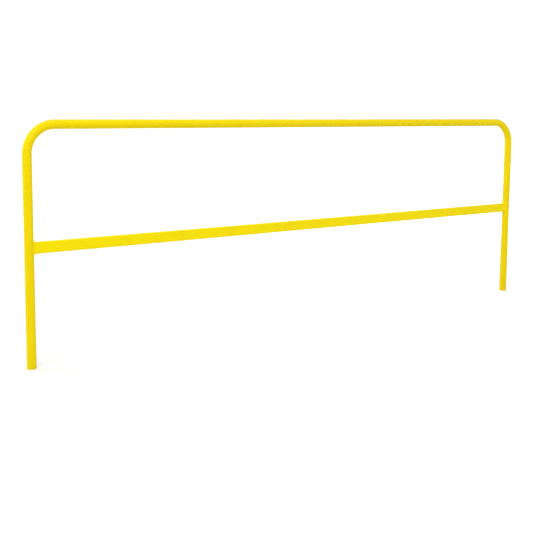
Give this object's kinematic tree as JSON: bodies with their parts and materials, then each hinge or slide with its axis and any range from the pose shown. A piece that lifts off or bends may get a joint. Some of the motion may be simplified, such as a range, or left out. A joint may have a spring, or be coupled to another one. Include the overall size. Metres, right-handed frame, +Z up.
{
  "type": "guard rail panel",
  "caption": "Guard rail panel: a round tube bent into legs and a top rail, with a rectangular mid rail welded between the legs.",
  "frame": {"origin": "midway between the legs, level with their sawn ends", "axes": "+X along the rails, from the left leg to the right leg; +Y through the panel, away from the pictured side; +Z up"},
  "size_m": [3.048, 0.0412, 1.067],
  "materials": {
    "yellow_powder_coat": "semi-gloss powder coat over welded steel tube"
  },
  "bodies": {
    "root": {"frame_tube": "yellow_powder_coat", "mid_rail": "yellow_powder_coat", "weld_left": "yellow_powder_coat", "weld_right": "yellow_powder_coat"}
  },
  "joints": []
}
